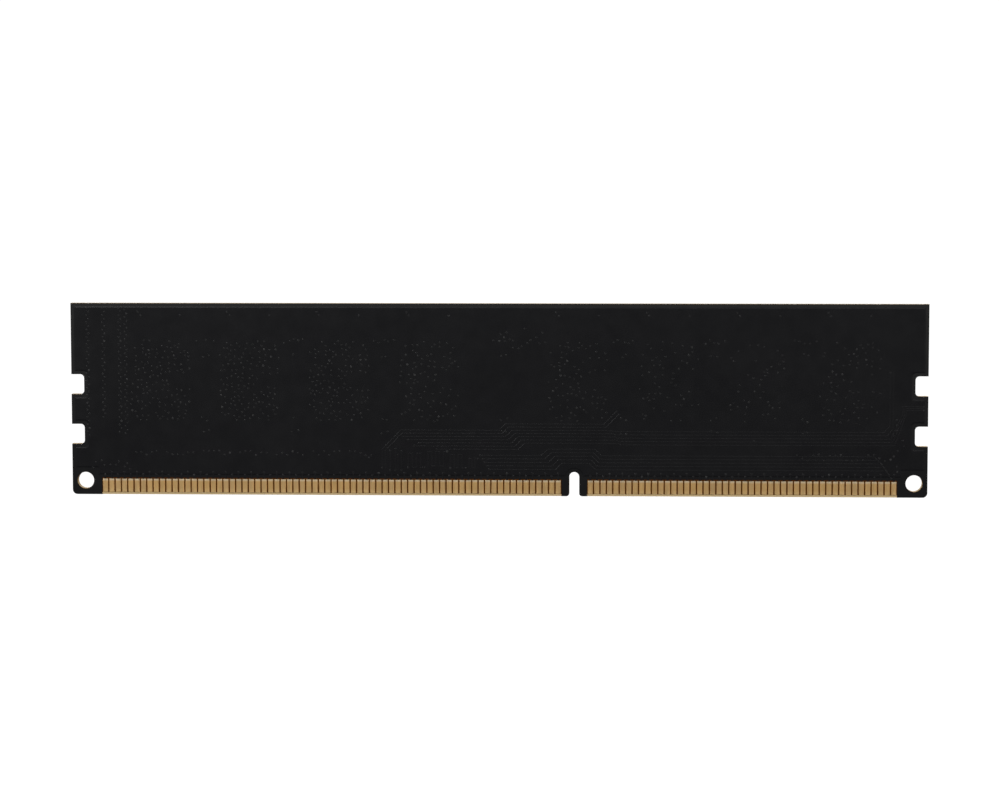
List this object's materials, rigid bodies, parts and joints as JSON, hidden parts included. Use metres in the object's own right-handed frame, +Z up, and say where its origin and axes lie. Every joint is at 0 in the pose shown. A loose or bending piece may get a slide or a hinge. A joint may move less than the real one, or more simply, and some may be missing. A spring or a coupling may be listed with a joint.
{
  "type": "ram module",
  "caption": "Slim desktop memory module: a black circuit board with gold contacts along its bottom edge, latch slots in its ends, a bare back and memory chips on its front.",
  "frame": {"origin": "middle of the bottom edge, at mid-thickness of the board", "axes": "+X to the right along the board as seen from its bare back; +Y through the board, towards the face with the chips; +Z up, from the contact edge to the top edge"},
  "size_m": [0.1334, 0.0026, 0.03],
  "materials": {
    "laminate": "matte",
    "gold": "satin",
    "copper": "satin",
    "solder_mask": "satin",
    "chip_substrate": "satin",
    "silicon": "polished",
    "moulding": "matte",
    "resistor_body": "satin",
    "capacitor_body": "satin",
    "solder": "satin"
  },
  "bodies": {
    "root": {"circuit_board": "laminate", "contacts_back_long": "gold", "contacts_back_short": "gold", "contacts_front_long": "gold", "contacts_front_short": "gold", "ground_copper_back": "copper", "ground_copper_front": "copper", "solder_mask_back": "solder_mask", "solder_mask_front": "solder_mask", "dram_1_substrate": "chip_substrate", "dram_1_die": "silicon", "dram_1_mould": "moulding", "dram_2_substrate": "chip_substrate", "dram_2_die": "silicon", "dram_2_mould": "moulding", "dram_3_substrate": "chip_substrate", "dram_3_die": "silicon", "dram_3_mould": "moulding", "dram_4_substrate": "chip_substrate", "dram_4_die": "silicon", "dram_4_mould": "moulding", "dram_5_substrate": "chip_substrate", "dram_5_die": "silicon", "dram_5_mould": "moulding", "dram_6_substrate": "chip_substrate", "dram_6_die": "silicon", "dram_6_mould": "moulding", "dram_7_substrate": "chip_substrate", "dram_7_die": "silicon", "dram_7_mould": "moulding", "dram_8_substrate": "chip_substrate", "dram_8_die": "silicon", "dram_8_mould": "moulding", "identification_memory": "moulding", "resistor_array_01": "resistor_body", "resistor_array_02": "resistor_body", "resistor_array_03": "resistor_body", "resistor_array_04": "resistor_body", "resistor_array_05": "resistor_body", "resistor_array_06": "resistor_body", "resistor_array_07": "resistor_body", "resistor_array_08": "resistor_body", "resistor_array_09": "resistor_body", "resistor_array_10": "resistor_body", "resistor_array_11": "resistor_body", "resistor_array_12": "resistor_body", "resistor_array_13": "resistor_body", "resistor_array_14": "resistor_body", "resistor_array_15": "resistor_body", "resistor_array_16": "resistor_body", "chip_capacitor_1": "capacitor_body", "chip_capacitor_2": "capacitor_body", "chip_capacitor_3": "capacitor_body", "chip_capacitor_4": "capacitor_body", "chip_capacitor_5": "capacitor_body", "chip_capacitor_6": "capacitor_body", "chip_capacitor_7": "capacitor_body", "chip_capacitor_8": "capacitor_body", "bulk_capacitor_1": "capacitor_body", "bulk_capacitor_2": "capacitor_body"}
  },
  "joints": []
}
